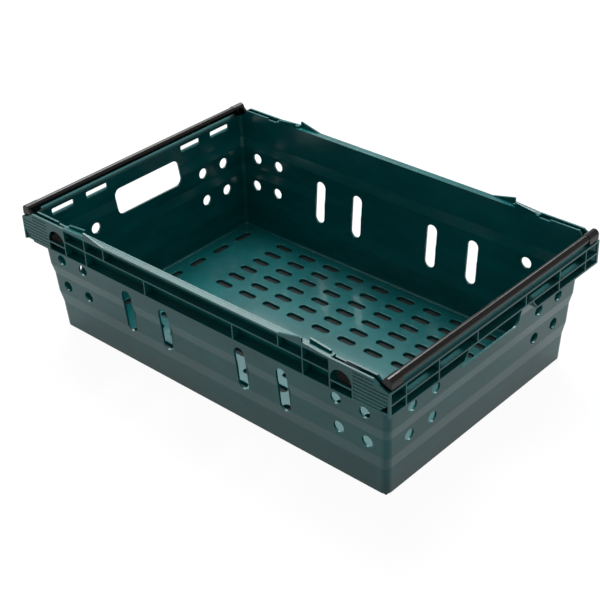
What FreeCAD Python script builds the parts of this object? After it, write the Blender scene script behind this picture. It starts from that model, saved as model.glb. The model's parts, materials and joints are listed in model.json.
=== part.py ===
import FreeCAD, Part
import math
import os

from FreeCAD import Vector

# Bale-arm produce crate. Millimetres, +Z up, +X along the length, origin under the middle of the base.
# The tray is one moulding, kept as floor, walls, corners, rim rails and hinge pockets that meet face to face.
# Two arms swing on stub pivots in the long sides, from over the end rims to across the top of the tray.

# Rim
rim_length = 599.4
rim_width = 399.6
rim_height = 177.8
end_rim_drop = 9.5
long_rim_projection = 7.8
end_rim_projection = 6.9
flange_thickness = 2.8
middle_flange_thickness = 2.2
long_middle_drop = 17.2
end_middle_drop = 16.0
rib_thickness = 1.8
rib_drop = 38.8
shelf_thickness = 2.6
long_rib_lower = 72.9
end_rib_upper = 46.2
end_rib_inner = 115.5
end_rib_corner_inset = 28.0
end_shelf_start = 70.6
end_shelf_brow = 60.4

# Tray walls
wall_thickness = 2.6
wall_corner_radius = 8.0
corner_half_width = 6.0
corner_sides = 4
wall_draft = 2.86
foot_chamfer = 2.0
shoulder_step = 2.0
lower_shoulder_start = 39.0
lower_shoulder_height = 17.0
upper_shoulder_start = 84.0
upper_shoulder_height = 14.0
rim_shoulder_drop = 53.8
rim_shoulder_height = 14.0
rim_shoulder_step = 2.5
rim_flare = 3.0
wall_fall_inset = 22.7
wall_fall_length = 8.0

# Floor
floor_thickness = 3.6
floor_slot_length = 30.0
floor_slot_width = 12.0
floor_slot_end_sides = 4
floor_slot_column_pitch = 44.5
floor_slot_row_pitch = 24.6
floor_slot_first_row = 27.8
floor_end_slot_pitch = 46.0
floor_end_slot_inset = 23.1
floor_slot_margin = 14.0

# Wall openings
vent_diameter = 16.0
vent_sides = 12
vent_pitch = 41.0
vent_upper_height = 112.0
vent_lower_height = 70.5
long_vent_inset = 47.7
end_vent_inset = 59.0
wall_slot_width = 17.5
wall_slot_end_sides = 6
wall_slot_bottom = 51.5
wall_slot_top = 114.5
wall_slot_inner = 64.0
wall_slot_outer = 130.0
hand_hole_width = 118.0
hand_hole_height = 37.2
hand_hole_roof_gap = 0.4
hand_hole_corner = 10.0
hand_hole_land = 4.0
rim_slot_length = 37.0
rim_slot_width = 10.0
rim_slot_chamfer = 1.6
rim_slot_drop = 7.9
rim_slot_inset = 56.6
rim_slot_pitch = 57.5

# Guides, ledges and lips that seat the arms when they are swung in
guide_thickness = 2.5
guide_height = 8.0
guide_length = 35.4
guide_crest = 2.0
ledge_rise = 2.8
bar_seat_offset = 2.2
lip_high = 6.5
lip_low = 3.0
lip_bar_gap = 1.6
lip_end_gap = 3.0

# Hinge pockets
pocket_length = 82.7
pocket_web_thickness = 1.8
pocket_floor_thickness = 2.4
panel_thickness = 2.5
panel_slope_inset = 21.7
panel_knee_inset = 11.7
panel_knee_drop = 5.9
panel_toe_inset = 18.2
panel_toe_height = 15.0
arch_radius = 15.0
arch_drop = 9.8
arch_bar_drop = 27.0
arch_bar_height = 2.2
grip_groove_pitch = 4.6
grip_groove_width = 1.8
grip_groove_depth = 0.6
grip_groove_count = 8
post_width = 2.6
post_depth = 3.5
arm_pad_length = 6.0
arm_pad_width = 4.3
hinge_notch_depth = 2.0
hinge_notch_length = 17.2

# Arms
bar_radius = 5.2
bar_lift = 0.1
bar_overhang = 0.3
sleeve_radius = 5.8
leg_thickness = 4.0
leg_half_width = 4.5
hub_radius = 8.0
pivot_drop = 19.3
pivot_radius = 4.0
pivot_length = 3.0
boss_radius = 7.0
knee_reach = 9.5
elbow_depth = 9.0
elbow_chamfer = 2.5
sleeve_length = 15.6
socket_depth = 12.0
leg_end_sides = 6
hub_sides = 20
elbow_sides = 10

# Clearances
pivot_clearance = 0.05
pivot_end_clearance = 0.3
boss_gap = 0.4
leg_panel_gap = 0.7
socket_clearance = 0.05
stop_gap = 0.3
rest_gap = 0.4
cut_past = 1.0

# Heights, each from the rim's top face down
end_rim_height = rim_height - end_rim_drop
long_middle_flange_top = rim_height - long_middle_drop
end_middle_flange_top = end_rim_height - end_middle_drop
rib_bottom = rim_height - rib_drop
rim_shoulder_start = rim_height - rim_shoulder_drop
rim_shoulder_end = rim_shoulder_start + rim_shoulder_height
hand_hole_top = end_middle_flange_top - middle_flange_thickness - hand_hole_roof_gap
hand_hole_bottom = hand_hole_top - hand_hole_height
rim_slot_height = end_rim_height - rim_slot_drop
shelf_bottom = rib_bottom - shelf_thickness
arch_top = rim_height - arch_drop
arch_bar_top = rim_height - arch_bar_drop
bar_height = rim_height + bar_lift
pivot_height = rim_height - pivot_drop

shoulders = (
    (lower_shoulder_start, lower_shoulder_start + lower_shoulder_height, shoulder_step),
    (upper_shoulder_start, upper_shoulder_start + upper_shoulder_height, shoulder_step),
    (rim_shoulder_start, rim_shoulder_end, rim_shoulder_step),
    (rim_shoulder_end, rim_height, rim_flare),
)
shoulder_levels = sorted({level for start, end, _ in shoulders for level in (start, end)})


def wall_lean(z):
    """How far the outer wall face stands outside the base outline at height z: draft plus shoulders."""
    lean = z * math.tan(math.radians(wall_draft))
    for start, end, step in shoulders:
        lean += step * min(max((z - start) / (end - start), 0.0), 1.0)
    return lean


# Worked out from the sizes above
half_rim_length = rim_length / 2
half_rim_width = rim_width / 2
half_length = half_rim_length - end_rim_projection - wall_lean(rim_height)
half_width = half_rim_width - long_rim_projection - wall_lean(rim_height)
mitre_ridge = half_length - half_width
mitre_shift = corner_half_width * math.sqrt(2)
wall_top = rim_height + lip_high
panel_inside = half_rim_width - panel_thickness
post_inside = half_rim_length - post_width
post_top = bar_height - elbow_depth - stop_gap
pocket_start = half_rim_length - pocket_length
pocket_inside = pocket_start + pocket_web_thickness
arch_end = pocket_inside + 2 * arch_radius
panel_toe_start = half_rim_length - panel_toe_inset
leg_outside = panel_inside - leg_panel_gap
leg_inside = leg_outside - leg_thickness
sleeve_end = leg_inside - sleeve_length
bar_end = sleeve_end + socket_depth
hand_hole_edge = hand_hole_width / 2 + hand_hole_land

# Swing of an arm, in the upright plane of its legs, from out over the end rim to in over the ledges
pivot_x = pocket_inside + arch_radius
bar_x = half_rim_length + bar_overhang - sleeve_radius
arm_reach = math.hypot(bar_x - pivot_x, bar_height - pivot_height)
rise_in = rim_height + ledge_rise + rest_gap + sleeve_radius - pivot_height
angle_out = math.atan2(bar_height - pivot_height, bar_x - pivot_x)
swing_angle = math.pi - math.asin(rise_in / arm_reach) - angle_out
bar_x_in = pivot_x - math.sqrt(arm_reach ** 2 - rise_in ** 2)
knee_angle = math.atan2(rise_in, -knee_reach) - swing_angle
knee_distance = math.hypot(rise_in, knee_reach)
knee_x = pivot_x + knee_distance * math.cos(knee_angle)
knee_height = pivot_height + knee_distance * math.sin(knee_angle)
seat_x = bar_x_in + bar_seat_offset
guide_start = seat_x - guide_length
lip_start = bar_x_in + sleeve_radius + lip_bar_gap
lip_end = pocket_start - lip_end_gap


def single(shape):
    """The one clean solid of a shape. A piece that falls apart is an error."""
    solids = shape.removeSplitter().Solids
    if len(solids) != 1:
        raise ValueError("expected one solid, found " + str(len(solids)))
    return solids[0]


def joined(shapes):
    """One solid from shapes that share faces or overlap."""
    return single(shapes[0].multiFuse(shapes[1:]))


def prism(points, direction):
    """Straight prism on a closed outline of straight sides."""
    return Part.Face(Part.makePolygon(points + points[:1])).extrude(direction)


def turned(shape, angle):
    """The shape turned about the upright axis through the origin."""
    copy = shape.copy()
    copy.rotate(Vector(), Vector(0, 0, 1), angle)
    return copy


def turn_points(centre, across, along, turn, sides):
    """Points round a centre from the across vector towards the along vector, in equal straight sides."""
    steps = [turn * index / sides for index in range(sides + 1)]
    return [centre + across * math.cos(step) + along * math.sin(step) for step in steps]


def rounded_points(length, width, radius):
    """Points of a level rectangle about the origin whose corners are quarter turns in a few straight sides."""
    points = []
    for x_side, y_side in ((1, 1), (-1, 1), (-1, -1), (1, -1)):
        centre = Vector(x_side * (length / 2 - radius), y_side * (width / 2 - radius), 0)
        corner = [Vector(x_side * radius, 0, 0), Vector(0, y_side * radius, 0)]
        if x_side != y_side:
            corner.reverse()
        points += turn_points(centre, corner[0], corner[1], math.pi / 2, corner_sides)
    return points


def slot_points(start, end, across, along, sides):
    """Points of a slot whose ends are half turns about two centres, in a few straight sides each."""
    far = turn_points(end, across, along, math.pi, sides)
    return far + turn_points(start, across * -1, along * -1, math.pi, sides)


def tray_outline(z, inset, level):
    """Level outline of the tray's outer wall face at height z, drawn inset and put at another level."""
    length = 2 * (half_length + wall_lean(z) - inset)
    width = 2 * (half_width + wall_lean(z) - inset)
    points = [point + Vector(0, 0, level) for point in rounded_points(length, width, wall_corner_radius - inset)]
    return Part.makePolygon(points + points[:1])


def tray_shell():
    """Tapered, shouldered wall all round: ruled lofts through level outlines, the inner cut from the outer."""
    outer = [tray_outline(0, foot_chamfer, 0)]
    outer += [tray_outline(z, 0, z) for z in [foot_chamfer] + shoulder_levels + [wall_top]]
    over = wall_top + cut_past
    inner = [tray_outline(z, wall_thickness, z) for z in [floor_thickness] + shoulder_levels + [over]]
    cavity = Part.makeLoft(inner, True, True)
    return single(Part.makeLoft(outer, True, True).cut(cavity).cut(floor_plate()))


def floor_plate():
    """Plain floor inside the walls, flush with their feet."""
    outline = tray_outline(floor_thickness, wall_thickness, 0)
    return Part.Face(outline).extrude(Vector(0, 0, floor_thickness))


def floor_panel():
    """Flat floor with a field of slots either side of a plain middle band, and a row along each end."""
    inside_x = half_length + wall_lean(floor_thickness) - wall_thickness
    inside_y = half_width + wall_lean(floor_thickness) - wall_thickness - floor_slot_margin
    end_x = inside_x - floor_end_slot_inset
    field_x = end_x - (floor_slot_width + floor_slot_length) / 2 - floor_slot_margin
    columns = int(field_x / floor_slot_column_pitch)
    rows = int((inside_y - floor_slot_width / 2 - floor_slot_first_row) / floor_slot_row_pitch) + 1
    end_slots = int((inside_y - floor_slot_length / 2) / floor_end_slot_pitch)
    half_run = (floor_slot_length - floor_slot_width) / 2
    half_slot = floor_slot_width / 2
    outline = slot_points(Vector(-half_run, 0, -cut_past), Vector(half_run, 0, -cut_past),
                          Vector(0, -half_slot, 0), Vector(half_slot, 0, 0), floor_slot_end_sides)
    cutter = prism(outline, Vector(0, 0, floor_thickness + 2 * cut_past))
    cuts = []
    for side in (-1, 1):
        for row in range(rows):
            y = side * (floor_slot_first_row + row * floor_slot_row_pitch)
            for column in range(-columns, columns + 1):
                cuts.append(cutter.translated(Vector(column * floor_slot_column_pitch, y, 0)))
        for slot in range(-end_slots, end_slots + 1):
            cuts.append(turned(cutter, 90).translated(Vector(side * end_x, slot * floor_end_slot_pitch, 0)))
    return single(floor_plate().cut(Part.makeCompound(cuts)))


def mitred(shell, plan):
    """The part of the tray wall that stands over a plan outline."""
    points = [Vector(x, y, -cut_past) for x, y in plan]
    return shell.common(prism(points, Vector(0, 0, wall_top + 2 * cut_past)))


def through_front(points):
    """Cutter that takes an upright outline from the middle of the tray out through the front wall."""
    return prism(points, Vector(0, -half_rim_width, 0))


def vents(outer_place):
    """Cutters for the four round vents near one end of a wall, the outer pair at a given place."""
    radius = vent_diameter / 2
    cuts = []
    for place in (outer_place, outer_place - vent_pitch):
        for z in (vent_upper_height, vent_lower_height):
            ring = turn_points(Vector(place, 0, z), Vector(radius, 0, 0), Vector(0, 0, radius),
                               2 * math.pi, vent_sides)
            cuts.append(through_front(ring[:-1]))
    return cuts


def long_wall_top():
    """Prism under the front wall's top line, with lips, hinge notches and a fall to each end rim."""
    notch = rim_height - hinge_notch_depth
    notch_end = pocket_inside + hinge_notch_length
    fall_start = half_rim_length - wall_fall_inset
    right = [
        (lip_start, rim_height),
        (lip_start, rim_height + lip_high),
        (lip_end, rim_height + lip_low),
        (lip_end, rim_height),
        (pocket_inside, rim_height),
        (pocket_inside, notch),
        (notch_end, notch),
        (notch_end, rim_height),
        (fall_start, rim_height),
        (fall_start + wall_fall_length, end_rim_height),
        (half_rim_length, end_rim_height),
        (half_rim_length, -cut_past),
    ]
    outline = right + [(-x, z) for x, z in reversed(right)]
    return prism([Vector(x, 0, z) for x, z in outline], Vector(0, -half_rim_width, 0))


def front_wall(shell):
    """Front wall between its corners, with vents, tall slots and a blind pivot seat near each end."""
    near = mitre_ridge - mitre_shift
    far = near + half_rim_width
    plan = [(-near, 0), (near, 0), (far, -half_rim_width), (-far, -half_rim_width)]
    wall = mitred(shell, plan).common(long_wall_top())
    boss_face = leg_inside - boss_gap
    boss_root = half_width + wall_lean(pivot_height) - wall_thickness / 2
    seat_depth = boss_face - leg_inside + pivot_length + pivot_end_clearance
    half_slot = wall_slot_width / 2
    bosses = []
    cuts = []
    for side in (-1, 1):
        centre = Vector(side * pivot_x, -boss_face, pivot_height)
        ring = turn_points(centre, Vector(boss_radius, 0, 0), Vector(0, 0, boss_radius), 2 * math.pi, vent_sides)
        bosses.append(prism(ring[:-1], Vector(0, boss_face - boss_root, 0)))
        seat_radius = pivot_radius + pivot_clearance
        cuts.append(Part.makeCylinder(seat_radius, seat_depth, centre, Vector(0, 1, 0)))
        for x in (side * wall_slot_inner, side * wall_slot_outer):
            low = Vector(x, 0, wall_slot_bottom + half_slot)
            high = Vector(x, 0, wall_slot_top - half_slot)
            cuts.append(through_front(slot_points(low, high, Vector(half_slot, 0, 0), Vector(0, 0, half_slot),
                                                  wall_slot_end_sides)))
    right_vents = vents(half_rim_length - long_vent_inset)
    cuts += right_vents + [cut.mirror(Vector(), Vector(1, 0, 0)) for cut in right_vents]
    return single(joined([single(wall)] + bosses).cut(Part.makeCompound(cuts)))


def rim_slot(place):
    """Cutter for a flat slot with chamfered corners under the end rim, at a place along the wall."""
    half = rim_slot_length / 2
    tall = rim_slot_width / 2
    corners = [(half, tall - rim_slot_chamfer), (half - rim_slot_chamfer, tall)]
    points = corners + [(-x, z) for x, z in reversed(corners)]
    points += [(-x, -z) for x, z in points]
    return through_front([Vector(place + x, 0, rim_slot_height + z) for x, z in points])


def right_end_walls(shell):
    """Right end wall between its corners, as a middle panel round the hand-hole and a vented panel each side."""
    near = mitre_ridge + mitre_shift
    far = near + half_rim_width
    plan = [(near, 0), (far, -half_rim_width), (far, half_rim_width)]
    below_rim = Part.makeBox(half_rim_length, rim_width, end_rim_height + cut_past,
                             Vector(0, -half_rim_width, -cut_past))
    wall = mitred(shell, plan).common(below_rim)
    hand_hole = rounded_points(hand_hole_width, hand_hole_height, hand_hole_corner)
    hand_hole_middle = hand_hole_bottom + hand_hole_height / 2
    outer_slot = half_rim_width - rim_slot_inset
    cuts = [through_front([Vector(point.x, 0, hand_hole_middle + point.y) for point in hand_hole])]
    for cut in vents(half_rim_width - end_vent_inset) + [rim_slot(outer_slot), rim_slot(outer_slot - rim_slot_pitch)]:
        cuts += [cut, cut.mirror(Vector(), Vector(1, 0, 0))]
    cuts = turned(Part.makeCompound(cuts), 90)
    wall = single(wall.cut(cuts.translated(Vector(mitre_ridge + end_rim_projection, 0, 0))))
    tall = end_rim_height + 2 * cut_past
    band = Part.makeBox(half_rim_length, 2 * hand_hole_edge, tall, Vector(0, -hand_hole_edge, -cut_past))
    front = Part.makeBox(half_rim_length, half_rim_width, tall,
                         Vector(0, -hand_hole_edge - half_rim_width, -cut_past))
    return single(wall.common(band)), single(wall.common(front))


def front_right_corner(shell):
    """Rounded upright corner between the front and right end walls, cut along the mitre to either side."""
    near = mitre_ridge - mitre_shift
    far = mitre_ridge + mitre_shift
    reach = half_rim_width
    plan = [(near, 0), (far, 0), (far + reach, -reach), (near + reach, -reach)]
    return single(mitred(shell, plan).common(long_wall_top()))


def rim_bar(half_base, outside, low, high, middle, length):
    """Bar of a rim, along Y about a given middle, from the wall's outer face out to a given distance in X."""
    levels = [low] + [z for z in shoulder_levels if low < z < high] + [high]
    section = [Vector(half_base + wall_lean(z), middle - length / 2, z) for z in levels]
    section += [Vector(outside, middle - length / 2, z) for z in (high, low)]
    return prism(section, Vector(0, length, 0))


def arm_seat():
    """What seats an arm near one end of a long rim: a sloped ledge and, before it, an upright guide."""
    ledge_length = pocket_start - seat_x
    slope = [
        Vector(0, seat_x, rim_height),
        Vector(0, seat_x, rim_height + ledge_rise),
        Vector(0, pocket_start, rim_height),
    ]
    block = rim_bar(half_width, half_rim_width, rim_height, rim_height + ledge_rise,
                    seat_x + ledge_length / 2, ledge_length)
    guide = [
        Vector(half_rim_width, guide_start, rim_height),
        Vector(half_rim_width, seat_x - guide_crest, rim_height + guide_height),
        Vector(half_rim_width, seat_x, rim_height + guide_height),
        Vector(half_rim_width, seat_x, rim_height),
    ]
    return [block.common(prism(slope, Vector(half_rim_width, 0, 0))), prism(guide, Vector(-guide_thickness, 0, 0))]


def front_rim():
    """Front rim rail: top and middle flanges, a shelf below, ribs between them, and a seat for each arm."""
    under = rim_height - flange_thickness
    middle_under = long_middle_flange_top - middle_flange_thickness
    bars = [
        (under, rim_height, 0, 2 * pocket_start),
        (middle_under, long_middle_flange_top, 0, 2 * pocket_start),
        (shelf_bottom, rib_bottom, 0, 2 * pocket_start),
    ]
    for side in (-1, 1):
        bars.append((rib_bottom, middle_under, side * long_rib_lower, rib_thickness))
        bars.append((long_middle_flange_top, under, side * guide_start, rib_thickness))
        bars.append((rib_bottom, under, side * seat_x, rib_thickness))
    shapes = [rim_bar(half_width, half_rim_width, *bar) for bar in bars]
    seat = arm_seat()
    shapes += seat + [piece.mirror(Vector(), Vector(0, 1, 0)) for piece in seat]
    return turned(joined(shapes), -90)


def shelf_brow():
    """Leaning rib that ends a shelf beside the hand-hole, from the shelf's underside up to the middle flange."""
    high = end_middle_flange_top - middle_flange_thickness
    length = end_shelf_start + rib_thickness - end_shelf_brow
    block = rim_bar(half_length, half_rim_length, shelf_bottom, high, end_shelf_brow + length / 2, length)
    leaning = [
        Vector(0, end_shelf_start, shelf_bottom),
        Vector(0, end_shelf_start + rib_thickness, shelf_bottom),
        Vector(0, end_shelf_brow + rib_thickness, high),
        Vector(0, end_shelf_brow, high),
    ]
    return block.common(prism(leaning, Vector(half_rim_length, 0, 0)))


def corner_rib():
    """Upright rib along the back right corner's diagonal, from the wall's round out to the corner post."""
    high = end_rim_height - flange_thickness
    levels = [rib_bottom] + [z for z in shoulder_levels if rib_bottom < z < high] + [high]
    round_reach = wall_corner_radius * (1 - math.sqrt(0.5))
    across = Vector(1, -1, 0).normalize() * rib_thickness
    post_y = panel_inside + across.y / 2
    section = [(half_width + wall_lean(z) - round_reach, z) for z in levels] + [(post_y, high), (post_y, rib_bottom)]
    return prism([Vector(y + mitre_ridge, y, z) for y, z in section], across).translated(across * -0.5)


def right_end_rim():
    """Right end rim rail: flanges, ribs and shelves that leave the hand-hole clear, corner posts and arm pads."""
    under = end_rim_height - flange_thickness
    middle_under = end_middle_flange_top - middle_flange_thickness
    bars = [
        (under, end_rim_height, 0, 2 * panel_inside),
        (middle_under, end_middle_flange_top, 0, 2 * panel_inside),
    ]
    shelf_length = panel_inside - end_shelf_start
    for side in (-1, 1):
        bars.append((shelf_bottom, rib_bottom, side * (end_shelf_start + shelf_length / 2), shelf_length))
        bars.append((end_middle_flange_top, under, side * end_rib_upper, rib_thickness))
        bars.append((rib_bottom, under, side * end_rib_inner, rib_thickness))
        bars.append((rib_bottom, under, side * (half_rim_width - end_rib_corner_inset), rib_thickness))
    shapes = [rim_bar(half_length, half_rim_length, *bar) for bar in bars]
    post = Part.makeBox(post_width, post_depth, post_top - shelf_bottom,
                        Vector(post_inside, half_rim_width - post_depth, shelf_bottom))
    pad = Part.makeBox(arm_pad_length, arm_pad_width, post_top - under,
                       Vector(half_rim_length - arm_pad_length, panel_inside - arm_pad_width, under))
    for shape in (post, pad, shelf_brow(), corner_rib()):
        shapes += [shape, shape.mirror(Vector(), Vector(0, 1, 0))]
    return joined(shapes)


def arch_cutter():
    """Cutter for the arched opening round a pivot, crossed by a thin bar above the pocket's floor."""
    front = -half_rim_width - cut_past
    depth = Vector(0, panel_thickness + 2 * cut_past, 0)
    spring = arch_top - arch_radius
    low_left = Vector(pocket_inside, front, arch_bar_top)
    low_right = Vector(arch_end, front, arch_bar_top)
    high_right = Vector(arch_end, front, spring)
    high_left = Vector(pocket_inside, front, spring)
    outline = Part.Wire([
        Part.makeLine(low_left, low_right),
        Part.makeLine(low_right, high_right),
        Part.Arc(high_right, Vector(pivot_x, front, arch_top), high_left).toShape(),
        Part.makeLine(high_left, low_left),
    ])
    lower_bottom = shelf_bottom + pocket_floor_thickness
    lower = Part.makeBox(2 * arch_radius, depth.y, arch_bar_top - arch_bar_height - lower_bottom,
                         Vector(pocket_inside, front, lower_bottom))
    return Part.makeCompound([Part.Face(outline).extrude(depth), lower])


def grip_grooves():
    """Cutters for the shallow level grooves across a pocket's panel, short where the panel slopes away."""
    start = arch_end + grip_groove_width
    grooves = []
    for index in range(1, grip_groove_count + 1):
        z = shelf_bottom + index * grip_groove_pitch
        below_slope = z + 2 * grip_groove_width < post_top
        end = post_inside + cut_past if below_slope else half_rim_length - panel_slope_inset
        grooves.append(Part.makeBox(end - start, grip_groove_depth + cut_past, grip_groove_width,
                                    Vector(start, -half_rim_width - cut_past, z)))
    return Part.makeCompound(grooves)


def front_right_pocket():
    """Hinge pocket at the front right: grooved outer panel with an arch, web to the wall, and a floor."""
    outline = [
        (pocket_start, shelf_bottom),
        (panel_toe_start, shelf_bottom),
        (post_inside, shelf_bottom + panel_toe_height),
        (post_inside, post_top),
        (half_rim_length - panel_knee_inset, rim_height - panel_knee_drop),
        (half_rim_length - panel_slope_inset, rim_height),
        (pocket_start, rim_height),
    ]
    panel = prism([Vector(x, -half_rim_width, z) for x, z in outline], Vector(0, panel_thickness, 0))
    panel = panel.cut(arch_cutter()).cut(grip_grooves())
    web = rim_bar(half_width, panel_inside, shelf_bottom, rim_height,
                  pocket_start + pocket_web_thickness / 2, pocket_web_thickness)
    floor_end = half_length + wall_lean(shelf_bottom)
    floor = rim_bar(half_width, panel_inside, shelf_bottom, shelf_bottom + pocket_floor_thickness,
                    (pocket_start + floor_end) / 2, floor_end - pocket_start)
    return joined([panel, turned(web, -90), turned(floor, -90)])


def leg_strip(start, end):
    """Flat length of a leg with round ends, as thick as a leg."""
    along = (end - start).normalize() * leg_half_width
    across = Vector(along.z, 0, -along.x)
    return prism(slot_points(start, end, across, along, leg_end_sides), Vector(0, leg_thickness, 0))


def elbow():
    """Elbow over the bar's end: round above, chamfered below, with a sloped gusset along its sleeve."""
    low = bar_height - elbow_depth
    left = bar_x - sleeve_radius
    right = bar_x + sleeve_radius
    outline = turn_points(Vector(bar_x, -leg_outside, bar_height), Vector(sleeve_radius, 0, 0),
                          Vector(0, 0, sleeve_radius), math.pi, elbow_sides)
    outline += [
        Vector(left, -leg_outside, low + elbow_chamfer),
        Vector(left + elbow_chamfer, -leg_outside, low),
        Vector(right - elbow_chamfer, -leg_outside, low),
        Vector(right, -leg_outside, low + elbow_chamfer),
    ]
    block = prism(outline, Vector(0, leg_outside - sleeve_end, 0))
    gusset = [
        Vector(left - cut_past, -leg_inside, low - cut_past),
        Vector(left - cut_past, -leg_inside, low),
        Vector(left - cut_past, -sleeve_end, bar_height - sleeve_radius),
        Vector(left - cut_past, -sleeve_end, low - cut_past),
    ]
    return block.cut(prism(gusset, Vector(2 * (sleeve_radius + cut_past), 0, 0)))


def right_front_crank():
    """Crank of the right arm: pivot stub, hub, kneed leg, and an elbow with a blind socket for the bar."""
    pivot = Vector(pivot_x, -leg_outside, pivot_height)
    knee = Vector(knee_x, -leg_outside, knee_height)
    wrist = Vector(bar_x, -leg_outside, bar_height)
    inwards = Vector(0, 1, 0)
    ring = turn_points(pivot, Vector(hub_radius, 0, 0), Vector(0, 0, hub_radius), 2 * math.pi, hub_sides)
    hub = prism(ring[:-1], inwards * leg_thickness)
    stub = Part.makeCylinder(pivot_radius, leg_thickness + pivot_length, pivot, inwards)
    crank = joined([hub, stub, elbow(), leg_strip(pivot, knee), leg_strip(knee, wrist)])
    socket = Part.makeCylinder(bar_radius + socket_clearance, socket_depth,
                               Vector(bar_x, -bar_end, bar_height), inwards)
    return single(crank.cut(socket))


def right_bar():
    """Plain round cross bar between the blind sockets of its two elbows."""
    return Part.makeCylinder(bar_radius, 2 * bar_end, Vector(bar_x, -bar_end, bar_height), Vector(0, 1, 0))


def build():
    """Every node by name. Left and back pieces are the right and front ones turned round or mirrored."""
    shell = tray_shell()
    wall = front_wall(shell)
    end_middle, end_front = right_end_walls(shell)
    end_back = end_front.mirror(Vector(), Vector(0, 1, 0))
    corner = front_right_corner(shell)
    left_corner = corner.mirror(Vector(), Vector(1, 0, 0))
    rim = front_rim()
    end_rim = right_end_rim()
    pocket = front_right_pocket()
    left_pocket = pocket.mirror(Vector(), Vector(1, 0, 0))
    bar = right_bar()
    crank = right_front_crank()
    back_crank = crank.mirror(Vector(), Vector(0, 1, 0))
    return {
        "floor_panel": floor_panel(),
        "front_wall": wall,
        "back_wall": turned(wall, 180),
        "right_end_wall_middle": end_middle,
        "left_end_wall_middle": turned(end_middle, 180),
        "right_end_wall_front": end_front,
        "left_end_wall_back": turned(end_front, 180),
        "right_end_wall_back": end_back,
        "left_end_wall_front": turned(end_back, 180),
        "front_right_corner": corner,
        "back_left_corner": turned(corner, 180),
        "front_left_corner": left_corner,
        "back_right_corner": turned(left_corner, 180),
        "front_rim": rim,
        "back_rim": turned(rim, 180),
        "right_end_rim": end_rim,
        "left_end_rim": turned(end_rim, 180),
        "front_right_hinge_pocket": pocket,
        "back_left_hinge_pocket": turned(pocket, 180),
        "front_left_hinge_pocket": left_pocket,
        "back_right_hinge_pocket": turned(left_pocket, 180),
        "right_bar": bar,
        "left_bar": turned(bar, 180),
        "right_front_crank": crank,
        "left_back_crank": turned(crank, 180),
        "right_back_crank": back_crank,
        "left_front_crank": turned(back_crank, 180),
    }


os.makedirs("parts", exist_ok=True)
for name, shape in build().items():
    shape.exportStep("parts/" + name + ".step")
print("arm swing", round(math.degrees(swing_angle), 2), "degrees about x", round(pivot_x, 3),
      "z", round(pivot_height, 3))
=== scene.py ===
"""Looks for a bale-arm produce crate: finishes for its nodes, moulded edge details, and a plain studio.

Metres, +Z up, +X along the crate's length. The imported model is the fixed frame.
"""

import json
import math

import bpy
import numpy as np
from mathutils import Matrix, Vector

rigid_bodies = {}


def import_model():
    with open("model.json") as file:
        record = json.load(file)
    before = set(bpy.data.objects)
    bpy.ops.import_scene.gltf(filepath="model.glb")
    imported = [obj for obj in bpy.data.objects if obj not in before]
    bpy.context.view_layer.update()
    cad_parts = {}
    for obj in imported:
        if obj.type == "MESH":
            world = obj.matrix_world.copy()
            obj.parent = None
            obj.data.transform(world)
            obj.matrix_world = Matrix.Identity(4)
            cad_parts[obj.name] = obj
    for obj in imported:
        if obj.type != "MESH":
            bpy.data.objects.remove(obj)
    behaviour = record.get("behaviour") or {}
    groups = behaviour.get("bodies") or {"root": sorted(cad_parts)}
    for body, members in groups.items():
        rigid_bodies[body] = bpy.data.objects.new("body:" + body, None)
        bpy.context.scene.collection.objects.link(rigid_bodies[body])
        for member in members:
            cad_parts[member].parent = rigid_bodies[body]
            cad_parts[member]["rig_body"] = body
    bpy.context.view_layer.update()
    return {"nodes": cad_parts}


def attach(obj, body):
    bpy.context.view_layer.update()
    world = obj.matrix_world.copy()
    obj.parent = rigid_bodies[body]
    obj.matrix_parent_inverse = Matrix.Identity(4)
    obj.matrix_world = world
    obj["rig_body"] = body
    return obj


bl_info = {
    "name": "Bale-arm produce crate",
    "version": (1, 0, 0),
    "blender": (4, 5, 0),
    "location": "3D View > Sidebar > Crate",
    "description": "Finishes, moulded edge details and studio for a stacking produce crate with swing arms",
    "category": "Object",
}

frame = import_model()

MM = 0.001

# The tray's wall, as it is moulded: draft, then three shoulders and a flare to the rim. A shoulder is the
# height where it starts, its own height, and its step outwards
HALF_RIM_LENGTH = 299.7 * MM
HALF_RIM_WIDTH = 199.8 * MM
RIM_HEIGHT = 177.8 * MM
LONG_RIM_PROJECTION = 7.8 * MM
END_RIM_PROJECTION = 6.9 * MM
WALL_THICKNESS = 2.6 * MM
WALL_DRAFT = math.radians(2.86)
WALL_CORNER_RADIUS = 8.0 * MM
FLOOR_THICKNESS = 3.6 * MM
SHOULDERS = np.array([(39.0, 17.0, 2.0), (84.0, 14.0, 2.0), (124.0, 14.0, 2.5), (138.0, 39.8, 3.0)]) * MM

# Openings in the floor and walls
FLOOR_SLOT = (30.0 * MM, 12.0 * MM)
FLOOR_SLOT_COLUMNS = np.arange(-4, 5) * 44.5 * MM
FLOOR_SLOT_ROWS = (27.8 + 24.6 * np.arange(6)) * MM
FLOOR_END_SLOTS = np.arange(-3, 4) * 46.0 * MM
FLOOR_END_SLOT_INSET = 23.1 * MM
VENT_DIAMETER = 16.0 * MM
VENT_PITCH = 41.0 * MM
VENT_HEIGHTS = np.array((112.0, 70.5)) * MM
LONG_VENT_INSET = 47.7 * MM
END_VENT_INSET = 59.0 * MM
WALL_SLOT_WIDTH = 17.5 * MM
WALL_SLOT_BOTTOM = 51.5 * MM
WALL_SLOT_TOP = 114.5 * MM
WALL_SLOT_PLACES = np.array((64.0, 130.0)) * MM
HAND_HOLE = (118.0 * MM, 37.2 * MM, 10.0 * MM)
HAND_HOLE_TOP = 149.7 * MM
RIM_SLOT = (37.0 * MM, 10.0 * MM, 1.6 * MM)
RIM_SLOT_HEIGHT = 160.4 * MM
RIM_SLOT_INSET = 56.6 * MM
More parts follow.
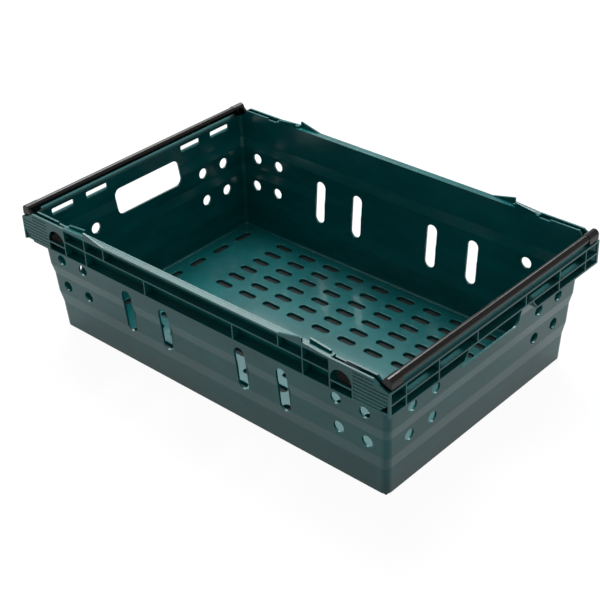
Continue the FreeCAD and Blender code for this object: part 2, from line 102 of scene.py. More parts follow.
RIM_SLOT_PITCH = 57.5 * MM

# Edge details: how deep a cove or lip is sunk in the sheet that carries it, the distance at which two points
# are one, and the angles between faces that count as flat, that are rounded, and that stay sharp
BURIED = WALL_THICKNESS / 4
SAME_PLACE = 1e-3 * MM
FLAT_ANGLE = math.radians(1)
ROUNDED_ANGLE = math.radians(30)
SHARP_ANGLE = math.radians(50)

# The tray's two moulded finishes: roughness from the smoothest to the most rubbed, level of sheen, and share
# of a smooth outer film
WALL_PLASTIC = "moulded_polypropylene_dark_green"
WALL_SKIN = {"roughness": (0.16, 0.26), "sheen": 0.3, "film": 0.0}
FLOOR_PLASTIC = "etched_polypropylene_dark_green"
FLOOR_SKIN = {"roughness": (0.32, 0.42), "sheen": 0.2, "film": 0.12}
PLASTIC_IOR = 1.49
FILM_ROUGHNESS = 0.08

# Marks in the plastic by their width, how high the foot of the walls is rubbed, and how far from the middle
# the dull ledges of the end rims begin
FLOW_MARK = 25.0 * MM
ORANGE_PEEL = 1.2 * MM
RUBBED_SPOT = 9.0 * MM
RUBBED_HEIGHT = 14.0 * MM
END_LEDGE = (288.0 * MM, 290.0 * MM)
LEDGE_ROUGHNESS = 0.75

# The arms' black coating, the marks in it by their width, and the grease round the pivots
COATING_IOR = 1.5
COATING_SHEEN = 0.22
COATING_ROUGHNESS = (0.08, 0.18)
RUB_MARK = 1.0 * MM
WORN_PATCH = 12.0 * MM
COATING_GRAIN = 0.8 * MM
PIVOT_X = 233.8 * MM
PIVOT_HEIGHT = 158.5 * MM
GREASE_REACH = (9.0 * MM, 14.0 * MM)
GREASE_ROUGHNESS = 0.85

# The studio: the place of each softbox and its width and height, the floor's half size, its depth under the
# base and its glow, and the share of white that reflections take from the floor and from the surround
KEY_SOFTBOX = ((-1.56, 1.06, 2.02), (1.6, 1.5))
HIGH_SOFTBOX = ((-0.8, 0.9, 2.4), (1.4, 1.4))
STRIP_SOFTBOX = ((-0.55, 1.9, 1.75), (0.2, 1.6))
STUDIO_FLOOR_HALF = 6.0
STUDIO_FLOOR_DEPTH = 0.2 * MM
STUDIO_FLOOR_GLOW = 0.95
FLOOR_GLOSSY_SHARE = 0.8
SURROUND_GLOSSY_SHARE = 0.6
SENSOR_WIDTH = 36.0

# A Mix node's sockets share their names, so they are taken by number
MIX_SHARE, MIX_NUMBER_A, MIX_NUMBER_B, MIX_COLOUR_A, MIX_COLOUR_B = 0, 2, 3, 6, 7
MIXED_NUMBER, MIXED_COLOUR = 0, 2

TRAY_NODES = [name for name, node in frame["nodes"].items() if node["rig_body"] == "tray"]
BAR_NODES = [name for name in frame["nodes"] if name.endswith("_bar")]
CRANK_NODES = [name for name in frame["nodes"] if name.endswith("_crank")]


def linear(code):
    """Linear RGBA of an sRGB hex code."""
    srgb = np.array([int(code[i:i + 2], 16) for i in (1, 3, 5)]) / 255
    rgb = np.where(srgb <= 0.04045, srgb / 12.92, ((srgb + 0.055) / 1.055) ** 2.4)
    return (*rgb.tolist(), 1.0)


class CrateFinish(bpy.types.PropertyGroup):
    """Colours of the crate."""

    tray_colour: bpy.props.FloatVectorProperty(
        name="Tray colour", description="Dark green of the moulded tray", size=4, subtype="COLOR",
        min=0, max=1, default=linear("#036264"))
    tray_shade: bpy.props.FloatVectorProperty(
        name="Tray shade", description="Deeper green in the tray's flow marks", size=4, subtype="COLOR",
        min=0, max=1, default=linear("#025557"))
    tray_scuff: bpy.props.FloatVectorProperty(
        name="Tray scuff", description="Chalky green of rubbed plastic", size=4, subtype="COLOR",
        min=0, max=1, default=linear("#3F7A76"))
    arm_colour: bpy.props.FloatVectorProperty(
        name="Arm colour", description="Black of the bars and cranks", size=4, subtype="COLOR",
        min=0, max=1, default=linear("#0E0B0A"))
    arm_worn: bpy.props.FloatVectorProperty(
        name="Worn arm colour", description="Brown-black of rubbed coating", size=4, subtype="COLOR",
        min=0, max=1, default=linear("#1C1512"))


class CrateDetail(bpy.types.PropertyGroup):
    """Sizes of the moulded edge details."""

    cove_radius: bpy.props.FloatProperty(
        name="Floor cove", description="Radius of the cove between floor and walls", default=3.0 * MM,
        unit="LENGTH", subtype="DISTANCE")
    lip_proud: bpy.props.FloatProperty(
        name="Lip height", description="How far an opening's lip stands proud of the face round it",
        default=0.06 * MM, unit="LENGTH", subtype="DISTANCE")
    lip_inside: bpy.props.FloatProperty(
        name="Lip inside", description="How far an opening's lip reaches into the opening",
        default=0.4 * MM, unit="LENGTH", subtype="DISTANCE")
    lip_outside: bpy.props.FloatProperty(
        name="Lip outside", description="How far an opening's lip reaches over the face round it",
        default=1.0 * MM, unit="LENGTH", subtype="DISTANCE")
    slot_edge: bpy.props.FloatProperty(
        name="Slot edge", description="Rounding of the upper edge of the floor's slots", default=1.1 * MM,
        unit="LENGTH", subtype="DISTANCE")
    rim_edge: bpy.props.FloatProperty(
        name="Rim edge", description="Rounding of the rim's and pockets' edges", default=0.35 * MM,
        unit="LENGTH", subtype="DISTANCE")
    arm_edge: bpy.props.FloatProperty(
        name="Arm edge", description="Rounding of the cranks' edges", default=0.8 * MM,
        unit="LENGTH", subtype="DISTANCE")


class CrateStudio(bpy.types.PropertyGroup):
    """Camera and light of the studio."""

    camera_place: bpy.props.FloatVectorProperty(
        name="Camera place", description="Where the camera stands", size=3, subtype="TRANSLATION",
        unit="LENGTH", default=(1.0050, -1.0733, 1.0028))
    camera_azimuth: bpy.props.FloatProperty(
        name="Camera azimuth", description="Turn of the camera about the upright", subtype="ANGLE",
        unit="ROTATION", default=math.radians(43.365))
    camera_elevation: bpy.props.FloatProperty(
        name="Camera elevation", description="How far the camera looks down", subtype="ANGLE",
        unit="ROTATION", default=math.radians(32.603))
    camera_roll: bpy.props.FloatProperty(
        name="Camera roll", description="Roll of the camera about its own axis", subtype="ANGLE",
        unit="ROTATION", default=math.radians(-2.410))
    camera_lens: bpy.props.FloatProperty(
        name="Lens", description="Focal length in millimetres on a 36 mm sensor", default=82.06,
        unit="CAMERA")
    sky_strength: bpy.props.FloatProperty(
        name="Sky strength", description="Level of the even light from all round", default=0.22)
    key_power: bpy.props.FloatProperty(
        name="Key power", description="Power of the softbox behind and above", default=37.0, unit="POWER")
    fill_power: bpy.props.FloatProperty(
        name="Fill power", description="Power of the higher, nearer softbox", default=49.0, unit="POWER")
    strip_power: bpy.props.FloatProperty(
        name="Strip power", description="Power of the strip that draws a line along the bars", default=10.0,
        unit="POWER")


def add_node(tree, kind, settings=None, inputs=None, links=None):
    """Adds a shader node with its settings, its sockets' values, and links from other nodes' outputs."""
    node = tree.nodes.new(kind)
    for name, value in (settings or {}).items():
        setattr(node, name, value)
    for key, value in (inputs or {}).items():
        node.inputs[key].default_value = value
    for key, output in (links or {}).items():
        tree.links.new(output, node.inputs[key])
    return node


def new_material(name):
    """An empty material and its node tree."""
    material = bpy.data.materials.new(name)
    material.use_nodes = True
    material.node_tree.nodes.clear()
    return material, material.node_tree


def moulded_polypropylene(finish, name, roughness, sheen, film):
    """Injection-moulded polypropylene, dark green, from semi-gloss walls to an etched, duller floor.

    The eye gets a deep green under a soft grey sheen, faint streaks where the melt flowed, a fine orange-peel
    skin, and chalky rubbing near the base. The etched floor keeps a little of a smooth film, which draws the
    vents as narrow streaks.
    """
    material, tree = new_material(name)
    place = add_node(tree, "ShaderNodeTexCoord").outputs["Object"]
    # Flow marks are drawn out level, along the walls
    drawn = add_node(tree, "ShaderNodeMapping", inputs={"Scale": (0.35, 0.35, 1.0)}, links={"Vector": place})
    flow = add_node(tree, "ShaderNodeTexNoise",
                    inputs={"Scale": 1 / FLOW_MARK, "Detail": 3.0, "Roughness": 0.55},
                    links={"Vector": drawn.outputs["Vector"]})
    peel = add_node(tree, "ShaderNodeTexNoise", inputs={"Scale": 1 / ORANGE_PEEL, "Detail": 1.0},
                    links={"Vector": place})
    rub = add_node(tree, "ShaderNodeTexNoise",
                   inputs={"Scale": 1 / RUBBED_SPOT, "Detail": 5.0, "Roughness": 0.65},
                   links={"Vector": place})
    # Chalky rubbing fades out up the foot of the walls
    sides = add_node(tree, "ShaderNodeSeparateXYZ", links={"Vector": place})
    base_zone = add_node(tree, "ShaderNodeMapRange",
                         inputs={"From Min": RUBBED_HEIGHT, "From Max": 0.0, "To Min": 0.0, "To Max": 0.5},
                         links={"Value": sides.outputs["Z"]})
    rubbed = add_node(tree, "ShaderNodeMapRange", inputs={"From Min": 0.56, "From Max": 0.74},
                      links={"Value": rub.outputs["Fac"]})
    wear = add_node(tree, "ShaderNodeMath", {"operation": "MULTIPLY"},
                    links={0: base_zone.outputs["Result"], 1: rubbed.outputs["Result"]})
    flow_mix = add_node(tree, "ShaderNodeMapRange", inputs={"From Min": 0.35, "From Max": 0.68},
                        links={"Value": flow.outputs["Fac"]})
    green = add_node(tree, "ShaderNodeMix", {"data_type": "RGBA"},
                     inputs={MIX_COLOUR_A: finish.tray_shade, MIX_COLOUR_B: finish.tray_colour},
                     links={MIX_SHARE: flow_mix.outputs["Result"]})
    worn = add_node(tree, "ShaderNodeMix", {"data_type": "RGBA"}, inputs={MIX_COLOUR_B: finish.tray_scuff},
                    links={MIX_SHARE: wear.outputs["Value"], MIX_COLOUR_A: green.outputs[MIXED_COLOUR]})
    gloss = add_node(tree, "ShaderNodeMapRange",
                     inputs={"From Min": 0.3, "From Max": 0.75,
                             "To Min": roughness[0], "To Max": roughness[1]},
                     links={"Value": rub.outputs["Fac"]})
    skin = add_node(tree, "ShaderNodeBump", inputs={"Strength": 0.12, "Distance": 0.1 * MM},
                    links={"Height": peel.outputs["Fac"]})
    waves = add_node(tree, "ShaderNodeBump", inputs={"Strength": 0.2, "Distance": 0.3 * MM},
                     links={"Height": flow.outputs["Fac"], "Normal": skin.outputs["Normal"]})
    # The level ledges of the end rims, where stacked crates rub, are dull
    far = add_node(tree, "ShaderNodeMath", {"operation": "ABSOLUTE"}, links={0: sides.outputs["X"]})
    on_end = add_node(tree, "ShaderNodeMapRange", inputs={"From Min": END_LEDGE[0], "From Max": END_LEDGE[1]},
                      links={"Value": far.outputs["Value"]})
    facing = add_node(tree, "ShaderNodeSeparateXYZ",
                      links={"Vector": add_node(tree, "ShaderNodeNewGeometry").outputs["Normal"]})
    level = add_node(tree, "ShaderNodeMapRange", inputs={"From Min": 0.6, "From Max": 0.9},
                     links={"Value": facing.outputs["Z"]})
    ledge = add_node(tree, "ShaderNodeMath", {"operation": "MULTIPLY"},
                     links={0: on_end.outputs["Result"], 1: level.outputs["Result"]})
    rough = add_node(tree, "ShaderNodeMix", {"data_type": "FLOAT"}, inputs={MIX_NUMBER_B: LEDGE_ROUGHNESS},
                     links={MIX_SHARE: ledge.outputs["Value"], MIX_NUMBER_A: gloss.outputs["Result"]})
    plastic = add_node(tree, "ShaderNodeBsdfPrincipled",
                       inputs={"IOR": PLASTIC_IOR, "Specular IOR Level": sheen,
                               "Coat Weight": film, "Coat Roughness": FILM_ROUGHNESS},
                       links={"Base Color": worn.outputs[MIXED_COLOUR],
                              "Roughness": rough.outputs[MIXED_NUMBER], "Normal": waves.outputs["Normal"]})
    add_node(tree, "ShaderNodeOutputMaterial", links={"Surface": plastic.outputs["BSDF"]})
    return material


def black_coating(finish):
    """Stoved black coating on steel bar and cast cranks, glossy.

    The eye gets a warm black with a sharp highlight, long fine rub marks, slightly browner worn patches, and
    a dull film of old grease round each pivot.
    """
    material, tree = new_material("black_coated_steel")
    place = add_node(tree, "ShaderNodeTexCoord").outputs["Object"]
    # Rub marks are drawn out along the bar
    drawn = add_node(tree, "ShaderNodeMapping", inputs={"Scale": (1.0, 0.04, 1.0)}, links={"Vector": place})
    marks = add_node(tree, "ShaderNodeTexNoise", inputs={"Scale": 1 / RUB_MARK, "Detail": 2.0},
                     links={"Vector": drawn.outputs["Vector"]})
    patch = add_node(tree, "ShaderNodeTexNoise",
                     inputs={"Scale": 1 / WORN_PATCH, "Detail": 4.0, "Roughness": 0.6},
                     links={"Vector": place})
    grain = add_node(tree, "ShaderNodeTexNoise", inputs={"Scale": 1 / COATING_GRAIN, "Detail": 1.0},
                     links={"Vector": place})
    worn = add_node(tree, "ShaderNodeMapRange", inputs={"From Min": 0.5, "From Max": 0.75, "To Max": 0.6},
                    links={"Value": patch.outputs["Fac"]})
    colour = add_node(tree, "ShaderNodeMix", {"data_type": "RGBA"},
                      inputs={MIX_COLOUR_A: finish.arm_colour, MIX_COLOUR_B: finish.arm_worn},
                      links={MIX_SHARE: worn.outputs["Result"]})
    gloss = add_node(tree, "ShaderNodeMapRange",
                     inputs={"From Min": 0.3, "From Max": 0.75,
                             "To Min": COATING_ROUGHNESS[0], "To Max": COATING_ROUGHNESS[1]},
                     links={"Value": marks.outputs["Fac"]})
    # Grease fades out round the pivots, whose axes lie across the crate
    sides = add_node(tree, "ShaderNodeSeparateXYZ", links={"Vector": place})
    far = add_node(tree, "ShaderNodeMath", {"operation": "ABSOLUTE"}, links={0: sides.outputs["X"]})
    level = add_node(tree, "ShaderNodeCombineXYZ", links={"X": far.outputs["Value"], "Z": sides.outputs["Z"]})
    reach = add_node(tree, "ShaderNodeVectorMath", {"operation": "DISTANCE"},
                     inputs={1: (PIVOT_X, 0.0, PIVOT_HEIGHT)}, links={0: level.outputs["Vector"]})
    grease = add_node(tree, "ShaderNodeMapRange",
                      inputs={"From Min": GREASE_REACH[1], "From Max": GREASE_REACH[0]},
                      links={"Value": reach.outputs["Value"]})
    dulled = add_node(tree, "ShaderNodeMix", {"data_type": "FLOAT"}, inputs={MIX_NUMBER_B: GREASE_ROUGHNESS},
                      links={MIX_SHARE: grease.outputs["Result"], MIX_NUMBER_A: gloss.outputs["Result"]})
    bump = add_node(tree, "ShaderNodeBump", inputs={"Strength": 0.15, "Distance": 0.08 * MM},
                    links={"Height": grain.outputs["Fac"]})
    coat = add_node(tree, "ShaderNodeBsdfPrincipled",
                    inputs={"IOR": COATING_IOR, "Specular IOR Level": COATING_SHEEN},
                    links={"Base Color": colour.outputs[MIXED_COLOUR],
                           "Roughness": dulled.outputs[MIXED_NUMBER], "Normal": bump.outputs["Normal"]})
    add_node(tree, "ShaderNodeOutputMaterial", links={"Surface": coat.outputs["BSDF"]})
    return material


def round_edges(node, radius):
    """Rounds a node's edges: its triangles are joined, made into whole flat faces, and bevelled."""
    joined = node.modifiers.new("joined", "WELD")
    joined.merge_threshold = SAME_PLACE
    flat = node.modifiers.new("flat_faces", "DECIMATE")
    flat.decimate_type = "DISSOLVE"
    flat.angle_limit = FLAT_ANGLE
    edge = node.modifiers.new("round_edges", "BEVEL")
    edge.width = radius
    edge.segments = 2
    edge.limit_method = "ANGLE"
    edge.angle_limit = ROUNDED_ANGLE
    edge.harden_normals = True
    edge.use_clamp_overlap = True


def wall_lean(z):
    """How far the wall's outer face stands outside the base outline: z tan(draft) plus each shoulder's step,
    taken up evenly over that shoulder's height."""
    z = np.asarray(z)[..., None]
    start, height, step = SHOULDERS.T
    return z[..., 0] * math.tan(WALL_DRAFT) + (step * np.clip((z - start) / height, 0, 1)).sum(-1)


HALF_LENGTH = HALF_RIM_LENGTH - END_RIM_PROJECTION - float(wall_lean(RIM_HEIGHT))
HALF_WIDTH = HALF_RIM_WIDTH - LONG_RIM_PROJECTION - float(wall_lean(RIM_HEIGHT))


def rounded_outline(width, height, radius, steps):
    """Outline of a rectangle with quarter-turn corners, anticlockwise, and its outward directions.

    Corner k turns from k to k + 1 quarters about (±(width/2 - radius), ±(height/2 - radius)):
    point = centre + radius (cos t, sin t), direction = (cos t, sin t). Points that fall together are dropped.
    """
    quarter = np.arange(4)[:, None]
    turn = (quarter + np.linspace(0, 1, steps + 1)) * math.pi / 2
    way = np.stack([np.cos(turn), np.sin(turn)], -1)
    middle = (quarter + 0.5) * math.pi / 2
    side = np.sign(np.stack([np.cos(middle), np.sin(middle)], -1))
    centre = side * (np.array((width, height)) / 2 - radius)
    points = (centre + radius * way).reshape(-1, 2)
    way = way.reshape(-1, 2)
    keep = np.linalg.norm(points - np.roll(points, 1, 0), axis=1) > SAME_PLACE
    return points[keep], way[keep]


def lip_section(detail):
    """Closed section of a lip round the edge of a wall's opening, as (out, across) pairs.

    Out goes from the opening's edge into the wall, and across from the wall's outer face (0) to its inner
    face (-thickness). The lip stands proud of both faces, with its corners cut.
    """
    outside = detail.lip_outside
    inside = detail.lip_inside
    cut = inside / 2
    proud = detail.lip_proud
    back = -WALL_THICKNESS
    return np.array([
        (outside, -BURIED), (cut, proud), (-cut, proud), (-inside, -proud),
        (-inside, back + proud), (-cut, back - proud), (cut, back - proud), (outside, back + BURIED),
    ])


def closed_grid(name, points, body, material):
    """Mesh piece from points[copy, u, v], a grid closed both ways: a quad joins u to u + 1 and v to v + 1.

    Faces are turned outwards by the sign of the first copy's volume, the sum of a . (b x c) / 6.
    """
    copies, rows, columns = points.shape[:3]
    index = np.arange(copies * rows * columns).reshape(copies, rows, columns)
    right = np.roll(index, -1, 1)
    quads = np.stack([index, right, np.roll(right, -1, 2), np.roll(index, -1, 2)], -1).reshape(-1, 4)
    flat = points.reshape(-1, 3)
    a, b, c, d = (flat[quads[:rows * columns, k]] - points[0].mean((0, 1)) for k in range(4))
    volume = (a * np.cross(b, c)).sum() + (a * np.cross(c, d)).sum()
    if volume < 0:
        quads = quads[:, ::-1]
    mesh = bpy.data.meshes.new(name)
    mesh.from_pydata(flat.tolist(), [], quads.tolist())
    mesh.polygons.foreach_set("use_smooth", np.ones(len(quads), bool))
    mesh.set_sharp_from_angle(angle=SHARP_ANGLE)
    mesh.materials.append(material)
    mesh.update()
    piece = bpy.data.objects.new(name, mesh)
    bpy.context.scene.collection.objects.link(piece)
    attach(piece, body)


def turned_pair(points):
    """The grids and the same grids turned half round about the upright: (x, y, z) and (-x, -y, z)."""
    return np.concatenate([points, points * np.array((-1, -1, 1))])


def wall_lips(outline, places, half_base, end, detail):
    """Lips round an opening in a wall, at several (along, height) places.

    Row i follows the outline, column j the section: along = place + point + out way, and the depth is the
    wall's outer face at that height plus across. A long wall takes (along, -depth, height), an end wall
    (depth, along, height).
    """
    points, way = outline
    section = lip_section(detail)
    flat = np.asarray(places)[:, None, None, :] + points[:, None, :] + way[:, None, :] * section[:, 0, None]
    along, height = flat[..., 0], flat[..., 1]
    depth = half_base + wall_lean(height) + section[:, 1]
    grid = np.stack([depth, along, height] if end else [along, -depth, height], -1)
    return turned_pair(grid)


def grid_places(first, second):
    """Every pair of a first and a second place, as (first, second) rows."""
    return np.stack(np.meshgrid(first, second), -1).reshape(-1, 2)


def either_side(values):
    """The values and their mirror images."""
    values = np.asarray(values)
    return np.concatenate([-values, values])


class CRATE_OT_tray_finish(bpy.types.Operator):
    """Give the tray's nodes their moulded plastic, and its rims and pockets rounded edges"""

    bl_idname = "crate.tray_finish"
    bl_label = "Tray finish"

    def execute(self, context):
        finish = context.scene.crate_finish
        wall_plastic = moulded_polypropylene(finish, WALL_PLASTIC, **WALL_SKIN)
        floor_plastic = moulded_polypropylene(finish, FLOOR_PLASTIC, **FLOOR_SKIN)
        for name in TRAY_NODES:
            node = frame["nodes"][name]
            node.data.materials.clear()
            node.data.materials.append(floor_plastic if name == "floor_panel" else wall_plastic)
            if name.endswith(("_rim", "_pocket")):
                round_edges(node, context.scene.crate_detail.rim_edge)
        return {"FINISHED"}


class CRATE_OT_arm_finish(bpy.types.Operator):
    """Give the bars and cranks of the arms their black coating, and the cranks rounded edges"""

    bl_idname = "crate.arm_finish"
    bl_label = "Arm finish"

    def execute(self, context):
        material = black_coating(context.scene.crate_finish)
        for name in BAR_NODES + CRANK_NODES:
            node = frame["nodes"][name]
            node.data.materials.clear()
            node.data.materials.append(material)
        for name in CRANK_NODES:
            round_edges(frame["nodes"][name], context.scene.crate_detail.arm_edge)
        return {"FINISHED"}


class CRATE_OT_floor_cove(bpy.types.Operator):
    """Run a cove round the floor where it meets the walls

    The section rises r (1 - cos t) over a quarter turn while it stands r (1 - sin t) in from the wall, which
    leans out with its draft. It is closed by three points sunk in the wall and the floor, and carried round
    the floor's outline.
    """

    bl_idname = "crate.floor_cove"
    bl_label = "Floor cove"

    def execute(self, context):
        radius = context.scene.crate_detail.cove_radius
        plastic = bpy.data.materials[FLOOR_PLASTIC]
        lean = float(wall_lean(FLOOR_THICKNESS)) - WALL_THICKNESS
        outline, way = rounded_outline(2 * (HALF_LENGTH + lean), 2 * (HALF_WIDTH + lean),
                                       WALL_CORNER_RADIUS - WALL_THICKNESS, steps=6)
        turn = np.linspace(0, math.pi / 2, num=7)
        rise = radius * (1 - np.cos(turn))
        inwards = radius * (1 - np.sin(turn))
        section = np.stack([rise * math.tan(WALL_DRAFT) - inwards, FLOOR_THICKNESS + rise], -1)
        behind = np.array([(section[-1, 0] + BURIED, section[-1, 1]), (BURIED, FLOOR_THICKNESS - BURIED),
                           (section[0, 0], FLOOR_THICKNESS - BURIED)])
        section = np.concatenate([section, behind])
        flat = outline[:, None, :] + way[:, None, :] * section[:, 0, None]
        height = np.broadcast_to(section[:, 1], flat.shape[:2])
        grid = np.concatenate([flat, height[..., None]], -1)[None]
        closed_grid("floor_cove", grid, "tray", plastic)
        return {"FINISHED"}


class CRATE_OT_floor_slot_lips(bpy.types.Operator):
    """Line every slot in the floor with a round-ended lip whose upper edge is rounded

    The section goes from the floor's top round a quarter turn, (-r sin t, top - r (1 - cos t)), and down to
    the base.
    """

    bl_idname = "crate.floor_slot_lips"
    bl_label = "Floor slot lips"

    def execute(self, context):
        detail = context.scene.crate_detail
        plastic = bpy.data.materials[FLOOR_PLASTIC]
        radius = detail.slot_edge
        # These lips lie flatter and narrower than those of the walls
        top = FLOOR_THICKNESS + detail.lip_proud / 3
        outside = detail.lip_outside / 2
        turn = np.linspace(0, math.pi / 2, num=4)
        edge = np.stack([-radius * np.sin(turn), top - radius * (1 - np.cos(turn))], -1)
        section = np.concatenate([[(outside, top)], edge, [(-radius, 0.0), (outside, 0.0)]])
        end_x = HALF_LENGTH + float(wall_lean(FLOOR_THICKNESS)) - WALL_THICKNESS - FLOOR_END_SLOT_INSET
        length, width = FLOOR_SLOT
        fields = [
            ((length, width), grid_places(FLOOR_SLOT_COLUMNS, either_side(FLOOR_SLOT_ROWS))),
            ((width, length), grid_places(either_side([end_x]), FLOOR_END_SLOTS)),
        ]
        grids = []
        for size, places in fields:
            points, way = rounded_outline(*size, width / 2, steps=4)
            flat = places[:, None, None, :] + points[:, None, :] + way[:, None, :] * section[:, 0, None]
            height = np.broadcast_to(section[:, 1], flat.shape[:3])
            grids.append(np.concatenate([flat, height[..., None]], -1))
        closed_grid("floor_slot_lips", np.concatenate(grids), "tray", plastic)
        return {"FINISHED"}


class CRATE_OT_wall_lips(bpy.types.Operator):
    """Line the vents, tall slots, hand-holes and rim slots of the walls with moulded lips"""

    bl_idname = "crate.wall_lips"
    bl_label = "Wall opening lips"

    def execute(self, context):
        detail = context.scene.crate_detail
        plastic = bpy.data.materials[WALL_PLASTIC]
        vent = rounded_outline(VENT_DIAMETER, VENT_DIAMETER, VENT_DIAMETER / 2, steps=5)
        tall = rounded_outline(WALL_SLOT_WIDTH, WALL_SLOT_TOP - WALL_SLOT_BOTTOM, WALL_SLOT_WIDTH / 2,
                               steps=6)
        hand = rounded_outline(*HAND_HOLE, steps=5)
        flat_slot = rounded_outline(*RIM_SLOT, steps=1)
        long_vents = HALF_RIM_LENGTH - LONG_VENT_INSET - np.array((0, VENT_PITCH))
        end_vents = HALF_RIM_WIDTH - END_VENT_INSET - np.array((0, VENT_PITCH))
        rim_slots = HALF_RIM_WIDTH - RIM_SLOT_INSET - np.array((0, RIM_SLOT_PITCH))
        wall_slot_middle = (WALL_SLOT_TOP + WALL_SLOT_BOTTOM) / 2
        hand_hole_middle = HAND_HOLE_TOP - HAND_HOLE[1] / 2
        # Outline, places along the wall, heights, the wall's half base, and whether it is an end wall
        groups = {
            "long_wall_vent_lips": (vent, either_side(long_vents), VENT_HEIGHTS, HALF_WIDTH, False),
            "end_wall_vent_lips": (vent, either_side(end_vents), VENT_HEIGHTS, HALF_LENGTH, True),
            "wall_slot_lips": (tall, either_side(WALL_SLOT_PLACES), [wall_slot_middle], HALF_WIDTH, False),
            "hand_hole_lips": (hand, [0.0], [hand_hole_middle], HALF_LENGTH, True),
            "rim_slot_lips": (flat_slot, either_side(rim_slots), [RIM_SLOT_HEIGHT], HALF_LENGTH, True),
        }
        for name, (outline, along, heights, half_base, end) in groups.items():
            grid = wall_lips(outline, grid_places(along, heights), half_base, end, detail)
            closed_grid(name, grid, "tray", plastic)
        return {"FINISHED"}


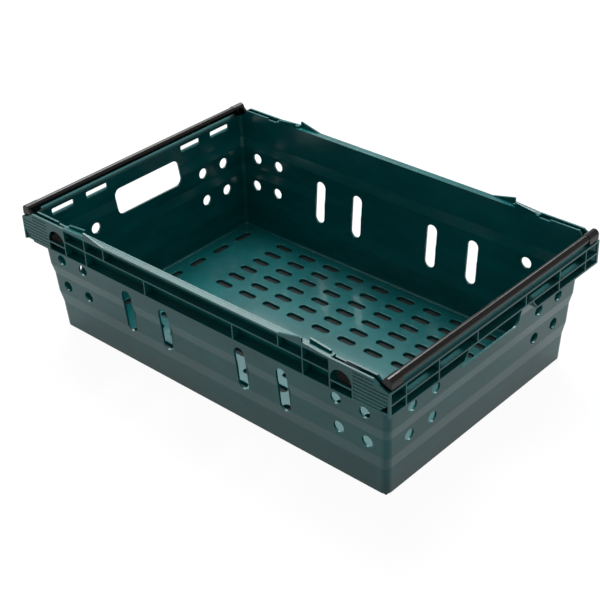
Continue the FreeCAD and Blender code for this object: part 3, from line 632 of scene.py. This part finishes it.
class CRATE_OT_studio(bpy.types.Operator):
    """Set the pale floor, the white surround, the lamps and the camera"""

    bl_idname = "crate.studio"
    bl_label = "Studio"

    def execute(self, context):
        scene = context.scene
        studio = scene.crate_studio
        scene.view_settings.view_transform = "Standard"
        self.floor()
        self.surround(scene, studio)
        self.softbox("key_softbox", *KEY_SOFTBOX, studio.key_power)
        self.softbox("high_softbox", *HIGH_SOFTBOX, studio.fill_power)
        self.softbox("strip_softbox", *STRIP_SOFTBOX, studio.strip_power)
        self.camera(scene, studio)
        return {"FINISHED"}

    def seen_white(self, tree, glossy_share):
        """1 for camera and transmission rays, which see plain white, and a share of that for glossy rays."""
        path = add_node(tree, "ShaderNodeLightPath")
        direct = add_node(tree, "ShaderNodeMath", {"operation": "MAXIMUM"},
                          links={0: path.outputs["Is Camera Ray"], 1: path.outputs["Is Transmission Ray"]})
        return add_node(tree, "ShaderNodeMath", {"operation": "MULTIPLY_ADD"}, inputs={1: glossy_share},
                        links={0: path.outputs["Is Glossy Ray"], 2: direct.outputs["Value"]}).outputs["Value"]

    def outside_base(self, tree):
        """1 on the floor round the crate and 0 under its base, where light comes only through the slots and a
        painted shade darkens the paper.
        """
        place = add_node(tree, "ShaderNodeTexCoord").outputs["Object"]
        sides = add_node(tree, "ShaderNodeSeparateXYZ", links={"Vector": place})
        far_x = add_node(tree, "ShaderNodeMath", {"operation": "ABSOLUTE"}, links={0: sides.outputs["X"]})
        far_y = add_node(tree, "ShaderNodeMath", {"operation": "ABSOLUTE"}, links={0: sides.outputs["Y"]})
        past_x = add_node(tree, "ShaderNodeMath", {"operation": "GREATER_THAN"},
                          inputs={1: HALF_LENGTH - WALL_THICKNESS}, links={0: far_x.outputs["Value"]})
        past_y = add_node(tree, "ShaderNodeMath", {"operation": "GREATER_THAN"},
                          inputs={1: HALF_WIDTH - WALL_THICKNESS}, links={0: far_y.outputs["Value"]})
        return add_node(tree, "ShaderNodeMath", {"operation": "MAXIMUM"},
                        links={0: past_x.outputs["Value"], 1: past_y.outputs["Value"]}).outputs["Value"]

    def floor(self):
        """A wide floor of matt white paper just under the base, nearly plain white to the camera, and painted
        dark grey under the base as painted shade.
        """
        corners = [(-1, -1), (1, -1), (1, 1), (-1, 1)]
        mesh = bpy.data.meshes.new("studio_floor")
        mesh.from_pydata([(x * STUDIO_FLOOR_HALF, y * STUDIO_FLOOR_HALF, -STUDIO_FLOOR_DEPTH)
                          for x, y in corners], [], [(0, 1, 2, 3)])
        plane = bpy.data.objects.new("studio_floor", mesh)
        bpy.context.scene.collection.objects.link(plane)
        material, tree = new_material("white_paper_sweep")
        matt = add_node(tree, "ShaderNodeBsdfDiffuse", inputs={"Color": linear("#E0E0E0")})
        # What the camera sees glows, and a grey added to it keeps the crate's shadow
        shade = add_node(tree, "ShaderNodeBsdfDiffuse", inputs={"Color": linear("#5A5A5A")})
        glow = add_node(tree, "ShaderNodeEmission",
                        inputs={"Color": linear("#FFFFFF"), "Strength": STUDIO_FLOOR_GLOW})
        lit = add_node(tree, "ShaderNodeAddShader",
                       links={0: shade.outputs["BSDF"], 1: glow.outputs["Emission"]})
        around = add_node(tree, "ShaderNodeMixShader",
                          links={0: self.seen_white(tree, FLOOR_GLOSSY_SHARE), 1: matt.outputs["BSDF"],
                                 2: lit.outputs["Shader"]})
        # Under the base the paper is painted dark grey: painted shade that deepens the real shadow seen
        # through the slots
        under = add_node(tree, "ShaderNodeBsdfDiffuse", inputs={"Color": linear("#363839")})
        mix = add_node(tree, "ShaderNodeMixShader",
                       links={0: self.outside_base(tree), 1: under.outputs["BSDF"],
                              2: around.outputs["Shader"]})
        add_node(tree, "ShaderNodeOutputMaterial", links={"Surface": mix.outputs["Shader"]})
        mesh.materials.append(material)

    def surround(self, scene, studio):
        """An even, weak light from all round, which the camera sees as plain white."""
        world = bpy.data.worlds.new("white_studio")
        world.use_nodes = True
        tree = world.node_tree
        tree.nodes.clear()
        even = add_node(tree, "ShaderNodeBackground",
                        inputs={"Color": linear("#FFFFFF"), "Strength": studio.sky_strength})
        white = add_node(tree, "ShaderNodeBackground", inputs={"Color": linear("#FFFFFF"), "Strength": 1.0})
        mix = add_node(tree, "ShaderNodeMixShader",
                       links={0: self.seen_white(tree, SURROUND_GLOSSY_SHARE), 1: even.outputs["Background"],
                              2: white.outputs["Background"]})
        add_node(tree, "ShaderNodeOutputWorld", links={"Surface": mix.outputs["Shader"]})
        scene.world = world

    def softbox(self, name, place, size, power):
        """A softbox of that width and height, turned to the middle of the crate."""
        lamp = bpy.data.lights.new(name, "AREA")
        lamp.shape = "RECTANGLE"
        lamp.size, lamp.size_y = size
        lamp.energy = power
        box = bpy.data.objects.new(name, lamp)
        aim = Vector((0, 0, RIM_HEIGHT / 2)) - Vector(place)
        box.matrix_world = Matrix.Translation(place) @ aim.to_track_quat("-Z", "Y").to_matrix().to_4x4()
        bpy.context.scene.collection.objects.link(box)

    def camera(self, scene, studio):
        """The camera at its place, turned, tipped down and rolled."""
        lens = bpy.data.cameras.new("photo_camera")
        lens.sensor_width = SENSOR_WIDTH
        lens.lens = studio.camera_lens
        camera = bpy.data.objects.new("photo_camera", lens)
        camera.matrix_world = (Matrix.Translation(studio.camera_place)
                               @ Matrix.Rotation(studio.camera_azimuth, 4, "Z")
                               @ Matrix.Rotation(math.pi / 2 - studio.camera_elevation, 4, "X")
                               @ Matrix.Rotation(studio.camera_roll, 4, "Z"))
        scene.collection.objects.link(camera)
        scene.camera = camera


class CRATE_PT_panel(bpy.types.Panel):
    """Lists the crate's pieces and studio"""

    bl_idname = "CRATE_PT_panel"
    bl_label = "Crate"
    bl_space_type = "VIEW_3D"
    bl_region_type = "UI"
    bl_category = "Crate"

    def draw(self, context):
        for step in STEPS:
            self.layout.operator(step.bl_idname)
        for group in (context.scene.crate_finish, context.scene.crate_detail, context.scene.crate_studio):
            box = self.layout.box()
            for name in group.bl_rna.properties.keys():
                if name not in ("rna_type", "name"):
                    box.prop(group, name)


STEPS = (
    CRATE_OT_tray_finish,
    CRATE_OT_arm_finish,
    CRATE_OT_floor_cove,
    CRATE_OT_floor_slot_lips,
    CRATE_OT_wall_lips,
    CRATE_OT_studio,
)
CLASSES = (CrateFinish, CrateDetail, CrateStudio, *STEPS, CRATE_PT_panel)


def register():
    for cls in CLASSES:
        bpy.utils.register_class(cls)
    bpy.types.Scene.crate_finish = bpy.props.PointerProperty(type=CrateFinish)
    bpy.types.Scene.crate_detail = bpy.props.PointerProperty(type=CrateDetail)
    bpy.types.Scene.crate_studio = bpy.props.PointerProperty(type=CrateStudio)


def unregister():
    del bpy.types.Scene.crate_studio
    del bpy.types.Scene.crate_detail
    del bpy.types.Scene.crate_finish
    for cls in reversed(CLASSES):
        bpy.utils.unregister_class(cls)


def main():
    register()
    bpy.ops.crate.tray_finish()
    bpy.ops.crate.arm_finish()
    bpy.ops.crate.floor_cove()
    bpy.ops.crate.floor_slot_lips()
    bpy.ops.crate.wall_lips()
    bpy.ops.crate.studio()


if __name__ == "__main__":
    main()
